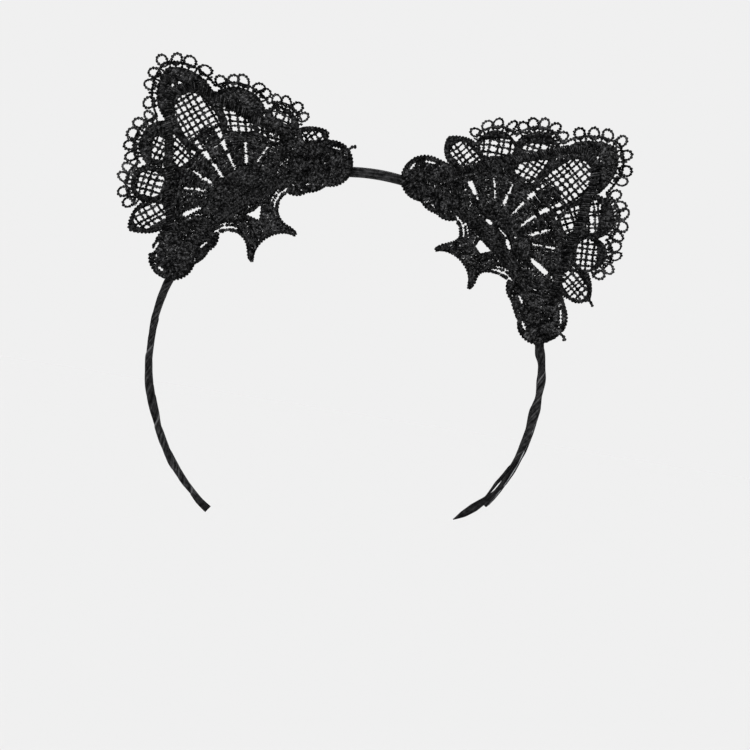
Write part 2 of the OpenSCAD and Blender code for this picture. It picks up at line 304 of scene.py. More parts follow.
def motif(name):
    """The lace's parts on one ear, with what is open in them."""
    sides = [half_only(shape, half) for half in HALVES for shape, _ in OPENINGS[name, half]]
    fan_zone = twin(union(*petals))
    arch_slits = twin(union(arch_slit(8.2, 0.7, -8, 54), arch_slit(9.7, 0.6, 12, 44)))
    ground = common(polygon((-25, 76), (-21, 82), (-15, 88.5), (-8, 92.5), (8, 92.5),
                            (15, 88.5), (21, 82), (25, 75.2), (0, 72), (-25, 75.2)), above(74.4))
    tip_window = cut(TIP_OPENING, twin(leg), petals[0])
    return {
        "border": cut(
            union(satin_outline, twin(union(shoulder, leg))), tip_window,
            grown(fan_zone, -0.5), fan_gaps, SLOTS[name], *sides, TIP_HOLES[name], below(75.4),
        ),
        "fan": cut(union(fan_zone, ground), fan_gaps, SLOTS[name], BASE_HOLES[name], *sides),
        "hub": cut(common(disc((0, 60), 20.5), above(74)), BASE_HOLES[name]),
        "base": cut(base_outline, BASE_HOLES[name], arch_slits),
        "tip_window": tip_window,
    }


# ---- placing -----------------------------------------------------------------------------


def ramp(x, start, end):
    t = np.clip((x - start) / (end - start), 0, 1)
    return t * t * (3 - 2 * t)


def bent(name, p, upper):
    """How each ear's lace has been pushed out of shape, and its slight waviness."""
    u, r, d = p[..., 0], p[..., 1], p[..., 2]
    du, dr, dd = np.zeros_like(u), np.zeros_like(u), np.zeros_like(u)
    out = ramp(u, 22, 29)
    up = ramp(r, 74.5 - 5 * out, 82 - 5.5 * out) if upper else np.zeros_like(u)
    if name == "right":                     # the tip leans and the crescent is pulled aside
        du += 2.0 * ramp(r, 84, 106) + 1.4 * ramp(r, 112, 124)
        du += up * (1.5 * ramp(-u, 28, 38) - 1.2 * ramp(u, 28, 36))
        low = ramp(r, 64, 54) * ramp(np.abs(u), 13, 10)
        du -= 1.8 * low
        dr += 2.2 * low
        dr -= 2.0 * ramp(u, 22, 30) * ramp(r, 66, 58)
    else:                                   # the inner half is pushed down and bulges
        dr -= 6.2 * ramp(u, 4, 30) * up
        du -= 2.0 * ramp(u, 24, 37) * up + 1.3 * ramp(-u, 16, 28) * ramp(r, 76, 83)
        dd += 2.0 * ramp(u, 9, 24) * ramp(r, 72, 78) * ramp(r, 98, 84) * ramp(u, 40, 30)
    dd += 0.28 * np.sin(0.13 * u + 0.6) * np.cos(0.1 * r)
    return np.stack([u + du, r + dr, d + dd], axis=-1)


def on_ear(name):
    angle = math.radians(EAR_ANGLE * SIDES[name])

    def place(p):
        u, r, d = p[..., 0], p[..., 1], p[..., 2]
        x = r * math.sin(angle) + u * math.cos(angle)
        z = r * math.cos(angle) - u * math.sin(angle)
        return np.stack([x, -d, z], axis=-1) * MM

    return place


def on_band(side):
    def place(p):
        rho, along, d = p[..., 0], p[..., 1], p[..., 2]
        angle = side * along / ARCH_R
        return np.stack([rho * np.sin(angle), -d, rho * np.cos(angle)], axis=-1) * MM

    return place


# ---- building meshes ---------------------------------------------------------------------


def unit(v):
    return v / np.maximum(np.linalg.norm(v, axis=-1, keepdims=True), 1e-9)


def ahead_of(paths, closed=False):
    """The directions of travel along paths (..., n, 3)."""
    if closed:
        return unit(np.roll(paths, -1, -2) - np.roll(paths, 1, -2))
    return unit(np.gradient(paths, axis=-2))


def steps_of(paths):
    return np.linalg.norm(np.diff(paths, axis=-2), axis=-1)


def point_at(path, at):
    """The points at given distances along a path."""
    length = np.concatenate([[0], np.cumsum(steps_of(path))])
    return np.stack([np.interp(at, length, column) for column in path.T], axis=-1)


def oval(turn, width, depth, squareness):
    """Points at angles round an oval that is squarer the higher its last number is."""
    c, s = np.cos(turn), np.sin(turn)
    size = (np.abs(c / width) ** squareness + np.abs(s / depth) ** squareness) ** (-1 / squareness)
    return c * size, s * size


class Piece:
    """Gathers closed shells of faces and makes one object of them."""

    def __init__(self, name, bend=None):
        self.name, self.count, self.bend = name, 0, bend
        self.points, self.quads, self.uvs, self.caps, self.tones_and_highlights = [], [], [], [], []

    def add(self, points, quads, uvs, tones_and_highlights, caps=()):
        points = points.reshape(-1, 3)
        self.points.append(self.bend(points) if self.bend else points)
        self.quads.append(quads.reshape(-1, 4) + self.count)
        self.uvs.append(uvs.reshape(-1, 2))
        self.caps += [cap + self.count for cap in caps]
        self.tones_and_highlights.append(tones_and_highlights)
        self.count += len(points)

    def tubes(self, paths, up, wide, tall, sides=6, taper=1.0, tone_and_highlight=0.5, closed=False):
        """Threads along paths (m, n, 3) or (n, 3): wide across and tall along up."""
        paths = np.reshape(paths, (-1, *np.shape(paths)[-2:]))
        m, n, _ = paths.shape
        ahead = ahead_of(paths, closed)
        across = unit(np.cross(ahead, np.broadcast_to(up, paths.shape)))
        top = np.cross(across, ahead)
        turn = 2 * np.pi * (np.arange(sides) + 0.5) / sides
        ring = (across[:, :, None] * np.cos(turn)[:, None] * wide / 2
                + top[:, :, None] * np.sin(turn)[:, None] * tall / 2)
        points = paths[:, :, None] + ring * (taper * np.ones(n))[:, None, None]
        index = np.arange(m * n * sides).reshape(m, n, sides)
        here, there = (index, np.roll(index, -1, 1)) if closed else (index[:, :-1], index[:, 1:])
        quads = np.stack([here, there, np.roll(there, -1, 2), np.roll(here, -1, 2)], axis=-1)
        steps = steps_of(paths)
        steps = np.concatenate([np.zeros((m, 1)), steps, steps[:, -1:]], axis=1)
        along, rows = np.cumsum(steps, 1), quads.shape[1]
        corners = [np.broadcast_arrays(along[:, j:rows + j, None], (np.arange(sides) + k) / sides)
                   for j, k in ((0, 0), (1, 0), (1, 1), (0, 1))]
        uvs = np.stack([np.stack(corner, -1) for corner in corners], axis=-2)
        caps = [] if closed else [*index[:, 0], *index[:, -1, ::-1]]
        self.add(points, quads, uvs, np.repeat(np.broadcast_to(tone_and_highlight, m), n * sides), caps)

    def shell(self, outer, inner, uvs):
        """A sheet with a thickness: two grids (n, k, 3) joined by a rim."""
        n, k, _ = outer.shape
        a = np.arange(n * k).reshape(n, k)
        b = a + n * k
        faces = (
            (a[:-1, :-1], a[1:, :-1], a[1:, 1:], a[:-1, 1:]),
            (b[:-1, :-1], b[:-1, 1:], b[1:, 1:], b[1:, :-1]),
            (a[:-1, 0], b[:-1, 0], b[1:, 0], a[1:, 0]),
            (a[:-1, -1], a[1:, -1], b[1:, -1], b[:-1, -1]),
            (a[0, :-1], a[0, 1:], b[0, 1:], b[0, :-1]),
            (a[-1, :-1], b[-1, :-1], b[-1, 1:], a[-1, 1:]),
        )
        quads = np.concatenate([np.stack(corners, axis=-1).reshape(-1, 4) for corners in faces])
        both = np.concatenate([uvs.reshape(-1, 2)] * 2)
        self.add(np.stack([outer, inner]), quads, both[quads], np.full(2 * n * k, 0.5))

    def make(self, place, material):
        points = place(np.concatenate(self.points))
        quads = np.concatenate(self.quads)
        corners = np.concatenate([quads.ravel(), *self.caps])
        sizes = np.array([4] * len(quads) + [len(cap) for cap in self.caps])
        mesh = bpy.data.meshes.new(self.name)
        mesh.vertices.add(len(points))
        mesh.vertices.foreach_set("co", points.astype(np.float32).ravel())
        mesh.loops.add(len(corners))
        mesh.loops.foreach_set("vertex_index", corners.astype(np.int32))
        mesh.polygons.add(len(sizes))
        mesh.polygons.foreach_set("loop_start", (np.cumsum(sizes) - sizes).astype(np.int32))
        mesh.polygons.foreach_set("use_smooth", np.ones(len(sizes), bool))
        uvs = np.zeros((len(corners), 2), np.float32)
        uvs[:quads.size] = np.concatenate(self.uvs)
        mesh.uv_layers.new(name="thread").data.foreach_set("uv", uvs.ravel())
        # Each thread's random value, which the thread looks turn into random tone and, at its top,
        # painted highlight.
        tone_and_highlight = mesh.attributes.new("tone_and_highlight", "FLOAT", "POINT")
        tone_and_highlight.data.foreach_set("value", np.concatenate(self.tones_and_highlights).astype(np.float32))
        mesh.update(calc_edges=True)
        mesh.validate()
        mesh.materials.append(material)
        return add_object(self.name, mesh)


# ---- stitches ----------------------------------------------------------------------------

FRONT = np.array([0.0, 0.0, 1.0])
STITCH = dict(wide=0.72, tall=0.44, pitch=0.58)
UNDER = dict(wide=0.85, tall=0.4, pitch=0.78)
CLEAR = 0.05                        # how far inside an edge a row of stitches stops
LOOSE_ALONG, LOOSE_ACROSS, LOOSE_DEPTH = 0.16, 0.11, 0.07
SINK = 0.14                         # how deep a stitch's ends go in
FALL, SWELL = 0.9, 3.2              # how far from an edge stitches fall away, or rise to a crown
ROW, ROW_LAP = 2.7, 0.25            # one ring of stitches
BRICK, PETAL_BRICK = 2.9, 4.5       # the longest stitch in a filling
BAR_TURN = 0.36                     # half the angle that the bar over the band takes up
BAR_RINGS = (75.6, 72.5, 69.4)
HUB_RINGS = (20.5, 18.2)
WING_BOX = ((-42, 56), (42, 78))
PIP_DENSITY = 1.3


def radial(c, radius, start, end, pitch, length):
    """Starts and directions of lines that run in from one ring towards its centre."""
    count = max(3, int(abs(end - start) * radius / pitch))
    a = start + (end - start) * (np.arange(count) + 0.5) / count
    out = np.stack([np.sin(a), np.cos(a)], axis=-1)
    return np.asarray(c) + out * radius, -out, length


def parallel(low, high, turn, pitch):
    """Starts and directions of parallel lines that cover a box."""
    low, high = np.asarray(low, float), np.asarray(high, float)
    reach = np.linalg.norm(high - low)
    along = np.array([math.cos(turn), math.sin(turn)])
    across = np.array([-along[1], along[0]])
    offsets = np.arange(-reach / 2, reach / 2, pitch)
    starts = (low + high) / 2 + across * offsets[:, None] - along * reach / 2
    return starts, np.broadcast_to(along, starts.shape), reach


def runs(lines, shape, margin=0.0):
    """Where lines run through a shape: (line's number, start point, end point)."""
    starts, dirs, reach = lines
    step = 0.12
    t = np.arange(0, reach + step, step)
    p = starts[:, None] + dirs[:, None] * t[None, :, None]
    inside = shape(p[..., 0], p[..., 1]) < -margin
    edge = np.diff(np.pad(inside, ((0, 0), (1, 1))).astype(int), axis=1)
    row, first = np.nonzero(edge == 1)
    _, last = np.nonzero(edge == -1)
    keep = last - first > 4
    row, t0, t1 = row[keep], t[first[keep]], t[np.minimum(last[keep], len(t) - 1)]
    return row, starts[row] + dirs[row] * t0[:, None], starts[row] + dirs[row] * t1[:, None]


def chopped(row, a, b, longest):
    """Splits long runs into stitches, staggered from line to line like brickwork."""
    ends = []
    for k, length in enumerate(np.linalg.norm(b - a, axis=1)):
        n = max(1, math.ceil(length / longest))
        cuts = np.arange(n + 1) / n
        if n > 1 and row[k] % 2:
            cuts = np.concatenate([[0], (np.arange(n) + 0.5) / n, [1]])
        points = a[k] + (b[k] - a[k]) * cuts[:, None]
        ends += zip(points, points[1:])
    return np.array([e[0] for e in ends]), np.array([e[1] for e in ends])


class Needle:
    """Lays one kind of stitch at one depth, lower by drop at edges and higher by crown."""

    def __init__(self, rng, piece, kind, depth, drop=0.5, crown=0.0):
        self.rng, self.piece, self.kind, self.depth = rng, piece, kind, depth
        self.drop, self.crown = drop, crown

    def stitch(self, shape, a, b, lower=0.0):
        """Stitches from a to b, loosely, with their ends sunk in."""
        if not len(a):
            return
        rng, column = self.rng, (len(a), 1)
        along = unit(b - a)
        across = np.stack([-along[:, 1], along[:, 0]], axis=-1)
        a, b = (end + along * rng.normal(shift, LOOSE_ALONG, column)
                + across * rng.normal(0, LOOSE_ACROSS, column)
                for end, shift in ((a, -0.02), (b, 0.02)))
        s = np.linspace(0, 1, 6)
        p = a[:, None] + (b - a)[:, None] * s[None, :, None]
        edge = np.clip(-shape(p[..., 0], p[..., 1]), 0, None)
        lift = np.sqrt(np.clip(edge / FALL, 0, 1)) - 1
        swell = np.sqrt(np.clip(edge / SWELL, 0, 1))
        rise = self.drop * lift + self.crown * swell - SINK * np.abs(2 * s - 1) ** 5
        z = self.depth - lower + (rise if self.kind is STITCH else -rise)
        z = z + rng.normal(0, LOOSE_DEPTH, column)
        self.piece.tubes(np.concatenate([p, z[..., None]], axis=-1), FRONT, self.kind["wide"],
                         self.kind["tall"], taper=np.array([0.6, 1, 1, 1, 1, 0.6]),
                         tone_and_highlight=rng.random(len(a)))

    def pips(self, shape, low, high):
        """Small loose loops of thread that stand up from the stitching, every way round."""
        rng = self.rng
        count = int((high[0] - low[0]) * (high[1] - low[1]) * PIP_DENSITY)
        at = rng.uniform(low, high, (count, 2))
        at = at[shape(at[:, 0], at[:, 1]) < -0.45]
        turn = rng.uniform(0, np.pi, len(at))
        reach = rng.uniform(0.4, 0.75, len(at))
        along = np.stack([np.cos(turn), np.sin(turn)], axis=-1) * reach[:, None]
        s = np.linspace(-1, 1, 5)
        p = at[:, None] + along[:, None] * s[None, :, None]
        swell = np.sqrt(np.clip(-shape(at[:, 0], at[:, 1]) / SWELL, 0, 1))
        z = self.depth + self.crown * swell[:, None] + 0.34 * (1 - s ** 2)
        z = z + rng.normal(0, 0.05, (len(at), 1))
        self.piece.tubes(np.concatenate([p, z[..., None]], axis=-1), FRONT, 0.52, 0.42, sides=5,
                         taper=np.array([0.6, 1, 1, 1, 0.6]), tone_and_highlight=rng.random(len(at)))

    def ring(self, shape, zone, c, radius, turns, length, shift=0.0, lower=0.0):
        """One ring of stitches that point at a centre, where it crosses a zone."""
        at, inward, reach = radial(c, radius, *turns, self.kind["pitch"], length)
        if shift:
            at = at + inward * self.rng.normal(0, shift, (len(at), 1))
        _, a, b = runs((at, inward, reach), zone, CLEAR)
        self.stitch(shape, a, b, lower)

    def rings(self, shape, rows):
        """Rings inside rings, on both halves of the motif."""
        for (cu, cv), radius, start, end, part in rows:
            for half in HALVES:
                zone, ring = common(shape, part, beside(half)), radius
                while ring > 1.2:
                    self.ring(shape, zone, (half * cu, cv), ring, (half * start, half * end),
                              min(ROW, ring), 0.35 if ring < radius else 0)
                    ring -= ROW - ROW_LAP

    def fill(self, shape, low, high, turn, longest=BRICK):
        """Fills a shape with parallel stitches, staggered like brickwork."""
        lines = parallel(low, high, turn, self.kind["pitch"])
        self.stitch(shape, *chopped(*runs(lines, shape, CLEAR), longest))

    def border(self, border):
        self.rings(border, border_rows())
        legs = common(border, union(common(tip, below(TIP_FOOT)), twin(leg)))
        self.fill(legs, (-11, 89), (11, 110), 0)
        rest = cut(border, tip, twin(union(disc(*LOBE_2), lobe_3, leaf, leg)))
        for half in HALVES:
            self.fill(common(rest, beside(half)), (-32, 74), (32, 104), half * 0.5)

    def fan(self, fan, hub):
        for k, (root, end, _, _) in enumerate(petal_lines):
            for half in (HALVES if k else (1,)):

                def nearest(u, v):
                    side = half * u if k else np.abs(u)
                    others = [petal(side, v) for petal in petals if petal is not petals[k]]
                    return petals[k](side, v) - np.minimum.reduce(others)

                axis = math.atan2(end[1] - root[1], half * (end[0] - root[0]))
                left, right = (min(0, half * 27), max(0, half * 27)) if k else (-10, 10)
                self.fill(common(fan, nearest), (left, 70), (right, 101), axis + math.pi / 2,
                          PETAL_BRICK)
        for ring in HUB_RINGS:
            self.ring(hub, hub, (0, 60), ring, (-0.9, 0.9), 2.4, lower=0.2)

    def base(self, base):
        for ring in BAR_RINGS:
            self.ring(base, common(base, cut(bar, wings)), (0, 0), ring, (-BAR_TURN, BAR_TURN),
                      3.2)
        for half in HALVES:
            inner = common(base, wings, beside(half), grown(base, -2.2))
            self.fill(inner, *WING_BOX, half * 0.6)
        self.rings(cut(base, grown(base, -3.0)), [
            (*wing, -math.pi, math.pi,
             cut(twin(disc(*wing)), *(twin(disc(*other)) for other in WINGS[:k]), twin(wing_edge)))
            for k, wing in enumerate(WINGS)
        ])
        for half in HALVES:
            self.fill(common(base, twin(wing_edge), beside(half)), *WING_BOX, half * 0.95)
        self.fill(cut(common(base, crescent), bar, wings), (-15, 48), (15, 68), math.pi / 2)


def border_rows():
    """(centre, radius, first and last angle, part) of the satin's rows, on the right half."""
    lobe_2_part = cut(twin(disc(*LOBE_2)), tip)
    lobe_3_part = cut(twin(lobe_3), tip, lobe_2_part)
    leaf_part = cut(twin(leaf), lobe_2_part, lobe_3_part)
    return [
        (*TIP_ARC, 0, math.pi / 2, common(tip, above(TIP_FOOT))),
        (*LOBE_2, -math.pi, math.pi, lobe_2_part),
        (*LOBE_3, -math.pi, math.pi, lobe_3_part),
        ((LEAF_U, LEAF_V - LEAF_RISE), LEAF_R, -1.2, 1.2, common(leaf_part, above(LEAF_V))),
        ((LEAF_U, LEAF_V + LEAF_RISE), LEAF_R, math.pi - 1.2, math.pi + 1.2,
         common(leaf_part, below(LEAF_V))),
    ]


# ---- cords -------------------------------------------------------------------------------

# Two-ply cords, as (strand's width, its distance from the middle, length of one twist)
BASE_CORD = (0.68, 0.36, 2.5)
BORDER_CORD = (0.62, 0.33, 2.4)
WINDOW_CORD = (0.56, 0.28, 2.3)
BAR_CORD = (0.5, 0.22, 2.1)
PICOT_CORD = (0.56, 0.28, 2.0)
LOOP_CORD = (0.52, 0.27, 1.9)
SPOKE_CORD = (0.5, 0.24, 1.7)
TAIL_CORD = (0.64, 0.32, 1.9)
BEAD, BEAD_SWELL = 1.15, 0.32       # the length between a cord's knots and how it swells
FINE = 0.24                         # the step along a fine cord


def cord(rng, piece, path, size, closed=False, sides=6, phase=None, tones_and_highlights=(0, 1)):
    """Two strands twisted round a path (n, 3), drawn in between their knots."""
    strand, spread, pitch = size
    phase = rng.random() * 6 if phase is None else phase
    tone_and_highlight, bead = rng.uniform(*tones_and_highlights), BEAD
    steps = steps_of(np.concatenate([path, path[:1]]) if closed else path)
    if closed:                      # whole numbers of twists and knots
        pitch, bead = (steps.sum() / max(1, round(steps.sum() / x)) for x in (pitch, bead))
    along = np.concatenate([[0], np.cumsum(steps)])[:len(path)]
    ahead = ahead_of(path, closed)
    across = unit(np.cross(ahead, np.broadcast_to(FRONT, path.shape)))
    top = np.cross(across, ahead)
    swell = 1 + BEAD_SWELL * np.cos(2 * np.pi * along / bead + phase)
    for k in (0, 1):
        turn = (2 * np.pi * (along / pitch + k / 2) + phase)[:, None]
        out = across * np.cos(turn) + top * np.sin(turn)
        piece.tubes(path + out * spread * swell[:, None], FRONT, strand, strand, sides, swell,
                    tone_and_highlight, closed)


def resampled(path, step, closed=False):
    path = np.asarray(path, float)
    if closed:
        path = np.concatenate([path, path[:1]])
    length = np.cumsum(steps_of(path))[-1]
    at = np.linspace(0, length, max(3, int(length / step) + 1))
    return point_at(path, at[:-1] if closed else at)


# Which two sides of a grid square an edge passes through, keyed by its inside corners.
CROSSINGS = {
    1: ((0, 3),), 2: ((1, 0),), 3: ((1, 3),), 4: ((2, 1),), 5: ((0, 3), (2, 1)), 6: ((2, 0),),
    7: ((2, 3),), 8: ((3, 2),), 9: ((0, 2),), 10: ((1, 0), (3, 2)), 11: ((1, 2),),
    12: ((3, 1),), 13: ((0, 1),), 14: ((3, 0),),
}


GRID = 0.25


def grid_over(low, high, step=GRID):
    return np.meshgrid(np.arange(low[0], high[0], step), np.arange(low[1], high[1], step),
                       indexing="ij")


def outlines(shape, low, high):
    """The closed edges of a shape, each as points with the inside on its left."""
    grid = grid_over(low, high)
    f = shape(*grid)
    where = np.stack(grid, axis=-1)
    inside = (f < 0).astype(int)
    cases = (inside[:-1, :-1] + 2 * inside[1:, :-1] + 4 * inside[1:, 1:]
             + 8 * inside[:-1, 1:])
    follow, spot = {}, {}
    for i, j in np.argwhere((cases > 0) & (cases < 15)):
        ends = (((i, j), (i + 1, j)), ((i + 1, j), (i + 1, j + 1)),
                ((i, j + 1), (i + 1, j + 1)), ((i, j), (i, j + 1)))
        for first, second in CROSSINGS[int(cases[i, j])]:
            follow[ends[first]] = ends[second]
            p, q = ends[first]
            spot[ends[first]] = where[p] + (where[q] - where[p]) * f[p] / (f[p] - f[q])
    loops = []
    while follow:
        start = at = next(iter(follow))
        loop = []
        while at in follow:
            loop.append(spot[at])
            at = follow.pop(at)
        if at == start and len(loop) > 8:
            loops.append(np.array(loop))
    return loops


def flat(path, depth):
    """A path (n, 2) at one depth, or at each point's own."""
    return np.column_stack([path, np.broadcast_to(depth, len(path))])


def edge_cords(rng, piece, shape, low, high, depth, size):
    """Lays a twisted cord along every edge of a shape."""
    for loop in outlines(shape, low, high):
        for _ in range(2):              # smooths away the grid's steps
            loop = (np.roll(loop, 1, 0) + 2 * loop + np.roll(loop, -1, 0)) / 4
        cord(rng, piece, flat(resampled(loop, FINE, closed=True), depth), size, closed=True,
             tones_and_highlights=(0.35, 0.6))


# ---- the ears' lace ----------------------------------------------------------------------

SATIN_Z, BASE_Z, FAN_Z, NET_Z, PICOT_Z = 4.7, 4.75, 5.1, 4.25, 4.3
BORDER_BACK, BASE_BACK = 4.1, 3.75
NET_PITCH = 2.15
# (depth, angle off the net's own) of the three stitches that make a knot
KNOT = ((NET_Z + 0.22, 0.7), (NET_Z + 0.18, -0.8), (NET_Z - 0.2, 0.8))


def net(rng, piece, window, centre_at, half, turn):
    """Crossed plied threads with a knot at each crossing."""
    low = (centre_at[0] - half, centre_at[1] - half)
    high = (centre_at[0] + half, centre_at[1] + half)
    threads = []
    for q in (0, 1):
        angle = turn + q * math.pi / 2
        starts, along, reach = parallel(low, high, angle, NET_PITCH)
        across = np.array([-math.sin(angle), math.cos(angle)])
        starts = starts + across * rng.normal(0, 0.2, (len(starts), 1))
        threads.append((starts, along))
        for row, a, b in zip(*runs((starts, along, reach), grown(window, 0.75))):
            path = resampled([a, b], 0.3)
            s = np.linspace(0, 1, len(path))
            bow = 0.22 * rng.normal() * np.sin(np.pi * s) + 0.09 * np.sin(7 * s + row)
            path = path + across * bow[:, None]
            weave = (-1) ** (row + q) * 0.1
            z = NET_Z + weave * np.cos(np.pi * s * np.linalg.norm(b - a) / NET_PITCH)
            cord(rng, piece, flat(path, z), (0.46 + 0.14 * rng.random(), 0.26, 1.8), sides=5)
    (starts_0, along_0), (starts_1, along_1) = threads
    for a, along in zip(starts_0, along_0):
        for b, other in zip(starts_1, along_1):
            t = np.linalg.solve(np.stack([along, -other], axis=1), b - a)
            c = a + along * t[0]
            if grown(window, 0.3)(*c) > -0.2:
                continue
            for z, spin in KNOT:
                angle = turn + spin + rng.normal(0, 0.15)
                reach = 0.62 + rng.normal(0, 0.05)
                s = np.linspace(-1, 1, 5)
                path = c + s[:, None] * reach * np.array([math.cos(angle), math.sin(angle)])
                z = z - 0.12 * s ** 2 * np.sign(z - NET_Z)
                piece.tubes(flat(path, z), FRONT, 0.52, 0.42, sides=5,
                            taper=np.array([0.5, 0.95, 1, 0.95, 0.5]), tone_and_highlight=rng.random())


def arc(c, radius, start, end):
    a = np.linspace(start, end, max(4, int(abs(end - start) * radius / 0.25)))
    return np.asarray(c) + radius * np.stack([np.sin(a), np.cos(a)], axis=1)


# (centre, satin's radius, cord's first and last angle, first loop, step, loops), degrees
PICOT_ARCS = (
    (*TIP_ARC, 15.2, 87, 32, 16.8, 3),
    (*LOBE_2, -18, 96, -3, 20, 5),
    (*LOBE_3, -4, 108, 21, 26, 4),
)
# How far outside the satin the cord and the loops' centres are, and a loop's radius
PICOT_RING, PICOT_AT, PICOT_R = 1.85, 3.35, 1.72


def picot_loop(rng, piece, c, out_angle):
    a = np.linspace(0, 2 * np.pi, 30)[:-1]
    stretch, squeeze = 1 + rng.normal(0.26, 0.09), 1 + rng.normal(0, 0.08)
    lean, flat_side = rng.normal(0, 0.22), rng.normal(0.05, 0.1)
    out = np.array([math.sin(out_angle), math.cos(out_angle)])
    side = np.array([out[1], -out[0]])
    x, y = np.sin(a) * squeeze, -np.cos(a) * stretch
    x = x * (1 + flat_side * y)
    path = np.asarray(c) + PICOT_R * (x[:, None] * side + y[:, None] * out)
    path = path + side * (lean * (y[:, None] + 1)) + rng.normal(0, 0.12, 2) - 0.4 * out
    path = resampled(path, FINE, closed=True)
    rise = 0.15 * np.sin(np.linspace(0, 2 * np.pi, len(path)) + rng.random() * 6)
    cord(rng, piece, flat(path, PICOT_Z + rise), LOOP_CORD, closed=True)


def picots(rng, piece):
    for half in HALVES:
        for (cu, cv), r, start, end, first, step, loops in PICOT_ARCS:
            c = np.array([half * cu, cv])
            start, end = half * math.radians(start), half * math.radians(end)
            cord(rng, piece, flat(arc(c, r + PICOT_RING, start, end), PICOT_Z), PICOT_CORD)
            for k in range(2 * loops + 1):
                degrees = first + step * (k - 1) / 2
                a = half * math.radians(degrees + rng.normal(0, 0.9))
                out = np.array([math.sin(a), math.cos(a)])
                reach = PICOT_RING + (0.1 if k % 2 else rng.choice([0.0, 0.7, 1.3]))
                spoke = resampled([c + out * (r - 0.4), c + out * (r + reach)], 0.25)
                cord(rng, piece, flat(spoke, PICOT_Z), SPOKE_CORD, sides=5)
                if k % 2:
                    picot_loop(rng, piece, c + out * (r + PICOT_AT), a)
    (tip_u, tip_v), tip_r = TIP_ARC
    picot_loop(rng, piece, (0, tip_v + math.sqrt((tip_r + PICOT_AT) ** 2 - tip_u ** 2)), 0)


# ---- the ears' wires and threads ---------------------------------------------------------

BAND_T2, BAND_W2, SLACK = 1.1, 2.95, 0.02       # half the band's thickness and half its width
WRAP_R = 1.1                                    # the wrapped wire's radius
WIRE_Z = BAND_W2 - WRAP_R
WINDING_R, WINDING = 0.87, 0.5                  # the winding's radius, and its thread and pitch
WHIP = dict(wide=1.5, back=0.55, front=5.25, thread=0.56, pitch=0.8, clear=15)
LASH_THREAD = 0.3
TIP_BEND, TIP_BEND_R, LEG_TILT = 8.0, 107.0, math.radians(30)
FOOT_R = ARCH_R + BAND_T2 + WRAP_R + SLACK
FOOT_END = 32.0                                 # degrees from the ear's middle
LEG_U = TIP_BEND * math.cos(LEG_TILT)
LEG_V = TIP_BEND_R + TIP_BEND * math.sin(LEG_TILT)
LEG_HALF = LEG_V * math.cos(LEG_TILT) - LEG_U * math.sin(LEG_TILT)
LEG_L = LEG_HALF - math.sqrt(LEG_HALF ** 2 - LEG_U ** 2 - LEG_V ** 2 + FOOT_R ** 2)


def wire_line():
    """The shaping wire's middle line, from one foot's end to the other's."""
    foot = math.atan2(LEG_U + LEG_L * math.sin(LEG_TILT), LEG_V - LEG_L * math.cos(LEG_TILT))
    half = np.concatenate([
        arc((0, TIP_BEND_R), TIP_BEND, 0, math.pi / 2 - LEG_TILT),
        arc((0, 0), FOOT_R, foot, math.radians(FOOT_END)),
    ])
    whole = np.concatenate([half[::-1] * (-1, 1), half[1:]])
    return flat(resampled(whole, 0.2), WIRE_Z)


def winding(piece, line):
    """Thread wound round the wire, as one helix."""
    length = np.cumsum(steps_of(line))[-1]
    at = np.linspace(0.05, length - 0.05, int(length / WINDING * 10))
    middle = point_at(line, at)
    ahead = ahead_of(middle)
    across = unit(np.cross(ahead, FRONT))
    turn = (2 * np.pi * at / WINDING)[:, None]
    path = middle + (across * np.cos(turn) + FRONT * np.sin(turn)) * WINDING_R
    piece.tubes(path, ahead, WINDING, WINDING, sides=5)


def whip_stitches(rng, piece, line):
    """Slanting loops of doubled thread that go round the wire and through the lace."""
    x, y = oval(np.linspace(0, 2 * np.pi, 19)[:-1], 1, 1, 3.5)
    total, line = steps_of(line).sum(), line[:, :2]
    for middle in np.arange(WHIP["clear"], total - WHIP["clear"], WHIP["pitch"]):
        ahead = unit(point_at(line, middle + 0.5) - point_at(line, middle - 0.5))
        across = np.array([ahead[1], -ahead[0]])
        lean, half = 0.45 + rng.normal(0, 0.1), WHIP["wide"] * (1 + rng.normal(0, 0.05))
        path = (point_at(line, middle + rng.normal(0, 0.08)) + ahead * (lean * x)[:, None]
                + across * (half * x + rng.normal(0, 0.07))[:, None])
        top = WHIP["front"] + rng.normal(0, 0.07)
        z = (top + WHIP["back"]) / 2 + (top - WHIP["back"]) / 2 * y
        piece.tubes(flat(path, z), np.append(ahead, 0.0), WHIP["thread"],
                    WHIP["thread"] * 0.85, closed=True, tone_and_highlight=rng.random())


def band_turns(rng, piece, angles, outer):
    """Turns of thread round the band and the wire that lies on it, drawn tight behind."""
    inner = ARCH_R - BAND_T2 - SLACK - 0.2
    middle, half = (inner + outer) / 2, (outer - inner) / 2
    bare, wire_back = ARCH_R + BAND_T2 + 0.2, WIRE_Z - WRAP_R
    rho, d = oval(np.linspace(0, 2 * np.pi, 44, endpoint=False), half + 0.1, BAND_W2 + 0.2, 5.0)
    behind = np.clip((wire_back - d) / (wire_back + BAND_W2), 0, 1)
    rho = np.minimum(middle + rho, outer - behind * (outer - bare))
    for degrees in angles:
        for k in (-0.3, 0, 0.3):
            at = math.radians(degrees + k + rng.normal(0, 0.04))
            angle = at + rng.normal(0, 0.004) * d / BAND_W2
            path = np.stack([rho * np.sin(angle), rho * np.cos(angle), d], axis=1)
            piece.tubes(path, np.array([math.cos(at), -math.sin(at), 0.0]), LASH_THREAD,
                        LASH_THREAD, sides=5, closed=True, tone_and_highlight=rng.random())


# ---- materials ---------------------------------------------------------------------------

DARK_THREAD, DARK_SATIN = (0.001, 0.001, 0.0011), (0.0015, 0.0015, 0.0018)


